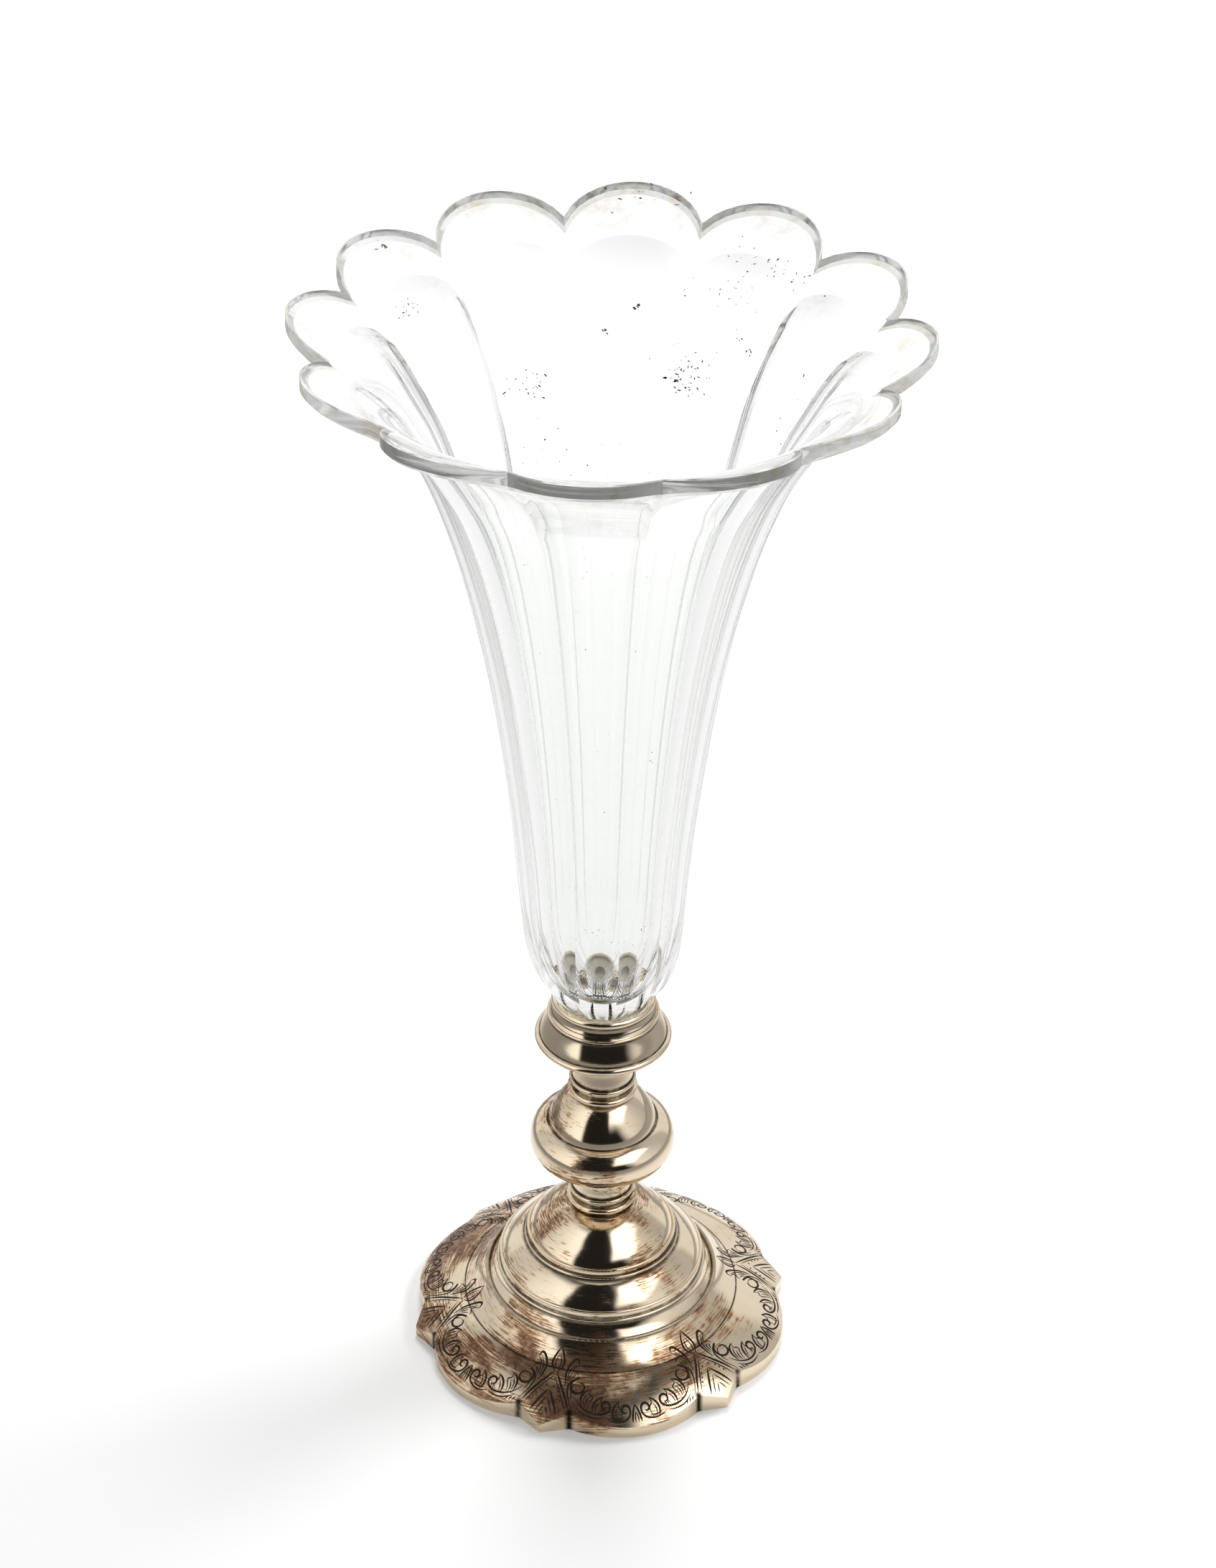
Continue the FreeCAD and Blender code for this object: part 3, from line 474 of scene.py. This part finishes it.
# The load in the foot, the board that closes it and the baize under it. Pitch stiffened with
# plaster is dark and lumpy, pulp board is plain and brown, and baize is a short felted wool nap.
def rough_stuff(name, pale, dirty, grain_mm, relief_mm):
    made, tree, shader = new_finish(name)
    spot = add_node(tree, "TexCoord", out="Object")
    blotch = add_node(tree, "TexNoise", {"Vector": spot, "Scale": 1 / (grain_mm * MM), "Detail": 6.0,
                                         "Roughness": 0.7})
    share = add_node(tree, "MapRange", (blotch, 0.45, 0.7))
    mixed = add_node(tree, "Mix", {0: share, 6: colour(pale), 7: colour(dirty)}, out=2, data_type="RGBA")
    tree.links.new(mixed, shader.inputs["Base Color"])
    shader.inputs["Roughness"].default_value = 0.9
    raised = add_node(tree, "Math", (blotch, relief_mm * MM), operation="MULTIPLY")
    bump = add_node(tree, "Bump", {"Height": raised, "Strength": 1.0, "Distance": 1.0})
    tree.links.new(bump, shader.inputs["Normal"])
    return made


dress("foot_filling", rough_stuff("pitch and plaster filling", "#4A4037", "#2C2620", 4.0, 0.4))
dress("base_cover", rough_stuff("pulp board", "#8A765A", "#6F5C43", 1.0, 0.05))
dress("base_pad", rough_stuff("green baize", "#2F5A44", "#244838", 0.6, 0.15))


# The stem and the collar: spun silver tubes and shells, threaded on a rod and pressed together.
# They stand higher than the foot, were wiped more often and hold less tarnish, the collar least.
# Creases as (radius, height) in mm with a reach in mm, darkened by sulphide and painted crease shade
stem_corners = [((12.3, 57.6), 1.3), ((11.5, 61.4), 1.4), ((11.4, 65.0), 1.2), ((12.4, 75.4), 1.4),
                ((20.5, 95.8), 0.7), ((12.3, 109.4), 1.3), ((11.5, 113.2), 1.4), ((11.4, 116.8), 1.2),
                ((14.2, 130.8), 1.6), ((23.35, 134.1), 1.1), ((23.3, 136.8), 0.8), ((20.3, 145.2), 1.0),
                ((19.05, 147.6), 0.4), ((18.3, 150.3), 0.9), ((16.2, 151.4), 0.7)]
stem_silver = silver("hand polished silver, stem", stem_corners, 0.95, 3.0)
for name in ("lower_neck", "lower_neck_large_ring", "lower_neck_small_ring", "knop_lower_shell",
             "knop_upper_shell", "upper_neck", "upper_neck_large_ring", "upper_neck_small_ring"):
    dress(name, stem_silver)
collar_silver = silver("hand polished silver, collar", stem_corners, 0.72, 5.0)
for name in ("collar_underplate", "collar_shell", "collar_bead_wire", "collar_mouth_wire",
             "collar_lip_wire"):
    dress(name, collar_silver)


# The rod through the stem, with its nuts and washers. Drawn steel, dull and slightly rusted.
steel, tree, shader = new_finish("drawn steel")
spot = add_node(tree, "TexCoord", out="Object")
rust = add_node(tree, "TexNoise", {"Vector": spot, "Scale": 1 / (3.0 * MM), "Detail": 5.0})
share = add_node(tree, "MapRange", (rust, 0.5, 0.7))
mixed = add_node(tree, "Mix", {0: share, 6: colour("#A7A8AB"), 7: colour("#7A5A44")}, out=2, data_type="RGBA")
tree.links.new(mixed, shader.inputs["Base Color"])
shader.inputs["Metallic"].default_value = 1.0
tree.links.new(add_node(tree, "MapRange", (rust, 0.4, 0.7, 0.35, 0.7)), shader.inputs["Roughness"])
for name in ("tie_rod", "rod_top_nut", "rod_top_washer", "rod_bottom_nut", "rod_bottom_washer"):
    dress(name, steel)


# Plaster that beds the glass. It was mixed stiff and packed in by hand, and has gone grey and
# brown where damp has reached it, so it shows as a blotchy matt ground through the glass.
dress("plaster_bed", rough_stuff("old bedding plaster", "#B7AE9A", "#7C6850", 1.6, 0.2))


# The glass trumpet. It was blown thick, and a wheel then cut twelve hollow flutes down its outside,
# each with a round arched top, and ground the rim into twelve lobes with a bevelled edge.
FLUTES = 12
GLASS_TURN = -1.7
HALF_PITCH = math.radians(180 / FLUTES)
outer_line = [(9.0, 148.38), (13.32, 150.39), (17.59, 154.35), (21.42, 158.77), (24.42, 163.38),
              (26.48, 168.18), (28.01, 173.58), (29.43, 179.78), (30.55, 189.78), (31.6, 201.38),
              (33.89, 230.18), (37.14, 258.96), (41.11, 287.77), (46.37, 316.57), (53.19, 345.38),
              (60.06, 366.98), (65.47, 379.77), (71.06, 389.78), (79.21, 402.57), (85.01, 408.66),
              (91.0, 413.47), (98.46, 417.97), (107.2, 421.68), (116.2, 425.51)]
inner_line = [(0.0, 161.38), (8.99, 162.97), (15.49, 166.88), (20.74, 174.7), (24.98, 190.34),
              (26.01, 201.84), (28.32, 230.72), (31.59, 259.66), (35.58, 288.65), (40.88, 317.72),
              (47.79, 346.85), (54.79, 368.86), (60.42, 382.21), (66.27, 392.67), (74.71, 405.9),
              (81.2, 412.78), (87.81, 418.08), (95.93, 422.96), (105.01, 426.84), (121.2, 433.75)]
ARCH_START = 18
ARCH_POINTS = 2
RIDGE_DEPTH = 0.6
FLUTE_HOLLOW = 0.9
HOLLOW_FULL_RADIUS = 31.0
RIM_TIP, RIM_NOTCH = 107.2, 93.1
PEG_RADIUS, PEG_LENGTH = 7.0, 8.6
RIM_BEVEL, LOW_BEVEL = 0.8, 1.5
outer_at = smooth_line(outer_line)
inner_at = smooth_line(inner_line)


# Radius of the hollow flute at a share along the outline, at an angle from its middle
def flute_radius(share, aside):
    radius, height = outer_at(share)
    depth = radius * (1 - math.cos(HALF_PITCH)) + FLUTE_HOLLOW * min(1, radius / HOLLOW_FULL_RADIUS)
    rise = (share - ARCH_START) / ARCH_POINTS
    ridge = radius + (depth * rise ** 2 if rise > 0 else -RIDGE_DEPTH * min(1, -rise))
    sag = depth - ridge * (1 - math.cos(HALF_PITCH))
    chord = ridge * math.sin(HALF_PITCH)
    bend = (chord ** 2 + sag ** 2) / (2 * sag)
    centre = ridge - depth + bend
    return centre * math.cos(aside) - math.sqrt(bend ** 2 - (centre * math.sin(aside)) ** 2)


def lobe_radius(aside):
    chord = RIM_NOTCH * math.sin(HALF_PITCH)
    sag = RIM_TIP - RIM_NOTCH * math.cos(HALF_PITCH)
    bend = (chord ** 2 + sag ** 2) / (2 * sag)
    centre = RIM_TIP - bend
    return centre * math.cos(aside) + math.sqrt(bend ** 2 - (centre * math.sin(aside)) ** 2)


def solve(test, low, high):
    for _ in range(40):
        middle = (low + high) / 2
        if test(middle):
            low = middle
        else:
            high = middle
    return (low + high) / 2


# Rows of one column, from the middle of the peg's end, up the outside, over the rim and down inside
LOW_ROWS, ARCH_ROWS, EDGE_ROWS, INNER_ROWS = 60, 16, 14, 70
STEADY_SHARE, HELD_SHARE = 16.0, 14.0
ARCH_RANGE = (ARCH_START - 0.5, ARCH_START + 2.2)
OUTER_RANGE, INNER_RANGE = (ARCH_START, 22.9), (10, 18.9)
LOW_BEVEL_RISE, RIM_BEVEL_DROP = LOW_BEVEL * 0.8, RIM_BEVEL * 0.6


def glass_column(aside):
    arch = solve(lambda s: flute_radius(s, aside) < outer_at(s)[0], *ARCH_RANGE)
    edge = lobe_radius(aside)
    low_bevel = solve(lambda s: outer_at(s)[0] < edge - LOW_BEVEL, *OUTER_RANGE)
    rim_low = outer_at(solve(lambda s: outer_at(s)[0] < edge, *OUTER_RANGE))[1]
    rows = [(0.0, outer_line[0][1] - PEG_LENGTH), (PEG_RADIUS, outer_line[0][1] - PEG_LENGTH),
            (PEG_RADIUS, outer_line[0][1])]
    shares = [STEADY_SHARE * i / LOW_ROWS for i in range(LOW_ROWS)]
    shares += [STEADY_SHARE + (arch - STEADY_SHARE) * i / ARCH_ROWS for i in range(ARCH_ROWS + 1)]
    rows += [(min(flute_radius(s, aside), outer_at(s)[0]), outer_at(s)[1]) for s in shares]
    shares = [arch + (low_bevel - arch) * i / EDGE_ROWS for i in range(1, EDGE_ROWS + 1)]
    rows += [tuple(outer_at(s)) for s in shares]
    rim_high = inner_at(solve(lambda s: inner_at(s)[0] < edge, *INNER_RANGE))[1]
    inner_end = solve(lambda s: inner_at(s)[0] < edge - RIM_BEVEL, *INNER_RANGE)
    rows += [(edge, rim_low + LOW_BEVEL_RISE), (edge, rim_high - RIM_BEVEL_DROP)]
    shares = [inner_end + (HELD_SHARE - inner_end) * i / EDGE_ROWS for i in range(EDGE_ROWS)]
    shares += [HELD_SHARE * (1 - i / INNER_ROWS) for i in range(INNER_ROWS)]
    rows += [tuple(inner_at(s)) for s in shares] + [(0.0, inner_line[0][1])]
    return rows


COLUMNS_PER_FLUTE, WELD_DISTANCE = 16, 0.00001
columns = [glass_column(HALF_PITCH * (2 * k / COLUMNS_PER_FLUTE - 1)) for k in range(COLUMNS_PER_FLUTE)]
glass_mesh = bmesh.new()
row_mark = glass_mesh.verts.layers.int.new("row")
profile = [glass_mesh.verts.new((r, 0, z)) for r, z in columns[0]]
for i, vert in enumerate(profile):
    vert[row_mark] = i
profile_edges = [glass_mesh.edges.new(pair) for pair in zip(profile, profile[1:])]
bmesh.ops.spin(glass_mesh, geom=profile + profile_edges, cent=(0, 0, 0), axis=(0, 0, 1),
               angle=math.tau, steps=FLUTES * COLUMNS_PER_FLUTE, use_merge=True)
step_angle = math.tau / (FLUTES * COLUMNS_PER_FLUTE)
ridge_columns = {}
for vert in glass_mesh.verts:
    column = round(math.atan2(vert.co.y, vert.co.x) / step_angle) % (FLUTES * COLUMNS_PER_FLUTE)
    radius, height = columns[column % COLUMNS_PER_FLUTE][vert[row_mark]]
    angle = column * step_angle + math.radians(GLASS_TURN)
    ridge_columns[vert] = column % COLUMNS_PER_FLUTE == 0
    vert.co = (radius * math.cos(angle) * MM, radius * math.sin(angle) * MM, height * MM)
bmesh.ops.remove_doubles(glass_mesh, verts=glass_mesh.verts, dist=WELD_DISTANCE)
bmesh.ops.recalc_face_normals(glass_mesh, faces=glass_mesh.faces)
FLAT_ROW = 3
CREASE_ROW = FLAT_ROW + LOW_ROWS + ARCH_ROWS
RIM_ROW = CREASE_ROW + EDGE_ROWS
LAST_RIM_ROW = RIM_ROW + 3
SHARP_ROWS = (1, 2, FLAT_ROW, CREASE_ROW, *range(RIM_ROW, LAST_RIM_ROW + 1))
for face in glass_mesh.faces:
    face.smooth = True
    rows = [v[row_mark] for v in face.verts]
    face.material_index = int(min(rows) >= RIM_ROW and max(rows) <= LAST_RIM_ROW)
for edge in glass_mesh.edges:
    first, second = (v[row_mark] for v in edge.verts)
    along_ridge = all(ridge_columns.get(v, False) for v in edge.verts) and first != second
    if along_ridge and FLAT_ROW <= min(first, second) and max(first, second) <= LAST_RIM_ROW:
        edge.smooth = False
    if first == second and first in SHARP_ROWS:
        edge.smooth = False
glass_data = bpy.data.meshes.new("trumpet")
glass_mesh.to_mesh(glass_data)
glass_mesh.free()
trumpet = bpy.data.objects.new("cut_glass_trumpet", glass_data)
bpy.context.scene.collection.objects.link(trumpet)
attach(trumpet, "root")
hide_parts("glass_trumpet")

# Cut and polished soda glass: clear, nearly colourless, with mirror-bright faces. Its cut rim holds
# brown dirt, and lamps shine through it, so that it casts only a light shadow.
CLEAR, RIM_STAIN = "#FAFBFA", "#DEC8A8"
RIM_DIRT_FROM, RIM_DIRT_FULL, GLASS_IOR = 92.5, 94.5, 1.52
glass, tree, shader = new_finish("cut and polished soda glass")
spot = add_node(tree, "TexCoord", out="Object")
flat = add_node(tree, "VectorMath", (spot, (1, 1, 0)), operation="MULTIPLY")
radius = add_node(tree, "VectorMath", (flat,), out="Value", operation="LENGTH")
at_rim = add_node(tree, "MapRange", (radius, RIM_DIRT_FROM * MM, RIM_DIRT_FULL * MM))
dirt = add_node(tree, "TexNoise", {"Vector": spot, "Scale": 1 / (16.0 * MM), "Detail": 6.0, "Roughness": 0.7})
dirt = add_node(tree, "MapRange", (dirt, 0.55, 0.72))
dirt = add_node(tree, "Math", (dirt, at_rim), operation="MULTIPLY")
body = add_node(tree, "Mix", {0: dirt, 6: colour(CLEAR), 7: colour(RIM_STAIN)}, out=2, data_type="RGBA")
tree.links.new(body, shader.inputs["Base Color"])
shader.inputs["Roughness"].default_value = 0.0
shader.inputs["IOR"].default_value = GLASS_IOR
shader.inputs["Transmission Weight"].default_value = 1.0
clear = add_node(tree, "BsdfTransparent", {"Color": colour("#F2F4F2")})
for_lamps = add_node(tree, "LightPath", out="Is Shadow Ray")
mixed = add_node(tree, "MixShader", (for_lamps, shader.outputs[0], clear))
tree.links.new(mixed, tree.nodes["Material Output"].inputs["Surface"])
glass_data.materials.append(glass)

# The cut edge itself was ground and only half polished, and use has frosted it: a light grey that
# scatters some light, with brown dirt in it.
ground_edge, tree, shader = new_finish("ground glass edge")
spot = add_node(tree, "TexCoord", out="Object")
dirt = add_node(tree, "TexNoise", {"Vector": spot, "Scale": 1 / (9.0 * MM), "Detail": 6.0, "Roughness": 0.7})
dirt = add_node(tree, "MapRange", (dirt, 0.5, 0.75))
body = add_node(tree, "Mix", {0: dirt, 6: colour("#F6F7F5"), 7: colour("#D8C4A4")}, out=2, data_type="RGBA")
tree.links.new(body, shader.inputs["Base Color"])
shader.inputs["Roughness"].default_value = 0.12
shader.inputs["IOR"].default_value = GLASS_IOR
shader.inputs["Transmission Weight"].default_value = 0.62
for_lamps = add_node(tree, "LightPath", out="Is Shadow Ray")
clear = add_node(tree, "BsdfTransparent", {"Color": colour("#D8DAD8")})
mixed = add_node(tree, "MixShader", (for_lamps, shader.outputs[0], clear))
tree.links.new(mixed, tree.nodes["Material Output"].inputs["Surface"])
glass_data.materials.append(ground_edge)


# Specks of dried dirt that old flower water left on the inner wall, in loose clusters, mostly high
# at the back. Each is a thin flake, most of them under a millimetre across.
SPECK_LIFT, POINT_GAP, AHEAD_ON_WALL = 0.06, 26, 0.05
# Degrees round, place up the inner line, spread in mm, count, radius of a flake in mm
CLUSTERS = [(51.9, 11.6, 3.4, 26, 0.38), (50.6, 12.1, 7.0, 34, 0.26), (106.7, 11.6, 5.0, 26, 0.34),
            (104.0, 10.6, 9.0, 16, 0.25), (136.9, 14.7, 5.0, 18, 0.32), (37.7, 15.6, 9.0, 34, 0.3),
            (70.0, 13.4, 1.6, 6, 0.42), (80.3, 12.8, 1.0, 4, 0.5), (34.6, 13.0, 3.0, 7, 0.42),
            (130.7, 17.3, 2.0, 5, 0.5), (69.4, 17.6, 9.0, 12, 0.34), (46.9, 14.1, 9.0, 20, 0.25),
            (-72.0, 4.6, 12.0, 40, 0.22), (-80.0, 7.5, 12.0, 14, 0.22), (80.0, 9.0, 26.0, 30, 0.22),
            (-150.0, 12.0, 20.0, 20, 0.28), (-20.0, 12.0, 20.0, 20, 0.28)]
chance = random.Random(11)
specks_mesh = bmesh.new()
for degrees, share, spread, count, size in CLUSTERS:
    for _ in range(count):
        here = share + chance.gauss(0, spread / POINT_GAP)
        radius, height = inner_at(here)
        ahead = inner_at(here + AHEAD_ON_WALL) - inner_at(here - AHEAD_ON_WALL)
        turn = math.radians(degrees) + chance.gauss(0, spread) / radius
        wall = Vector((-ahead[1] * math.cos(turn), -ahead[1] * math.sin(turn), ahead[0])).normalized()
        place = Vector((radius * math.cos(turn), radius * math.sin(turn), height)) + wall * SPECK_LIFT
        frame_way = wall.to_track_quat("Z", "Y").to_matrix().to_4x4()
        stretch = Matrix.Diagonal((chance.uniform(0.6, 2.2), chance.uniform(0.5, 1.0), 1, 1))
        twist = Matrix.Rotation(chance.uniform(0, math.tau), 4, "Z")
        lie = Matrix.Translation(place * MM) @ frame_way @ twist
        flake = size * chance.uniform(0.5, 1.3) * MM
        made = bmesh.ops.create_circle(specks_mesh, cap_ends=True, segments=6, radius=flake,
                                       matrix=lie @ stretch)
        for vert in made["verts"]:
            vert.co = vert.co.lerp(place * MM, chance.uniform(-0.3, 0.35))
specks_data = bpy.data.meshes.new("specks")
specks_mesh.to_mesh(specks_data)
specks_mesh.free()
specks = bpy.data.objects.new("dried_specks", specks_data)
bpy.context.scene.collection.objects.link(specks)
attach(specks, "root")

residue, tree, shader = new_finish("dried flower water residue")
spot = add_node(tree, "TexCoord", out="Object")
tone = add_node(tree, "TexNoise", {"Vector": spot, "Scale": 1 / (4.0 * MM), "Detail": 3.0})
tone = add_node(tree, "MapRange", (tone, 0.35, 0.65))
mixed = add_node(tree, "Mix", {0: tone, 6: colour("#3A2A1E"), 7: colour("#8C6B4A")}, out=2, data_type="RGBA")
tree.links.new(mixed, shader.inputs["Base Color"])
shader.inputs["Roughness"].default_value = 0.85
specks_data.materials.append(residue)

bpy.context.scene.view_settings.view_transform = "Standard"
# Light goes back and forth inside the cut edges many times before it comes out
bpy.context.scene.cycles.max_bounces = bpy.context.scene.cycles.transmission_bounces = 40
bpy.context.scene.cycles.glossy_bounces = 12
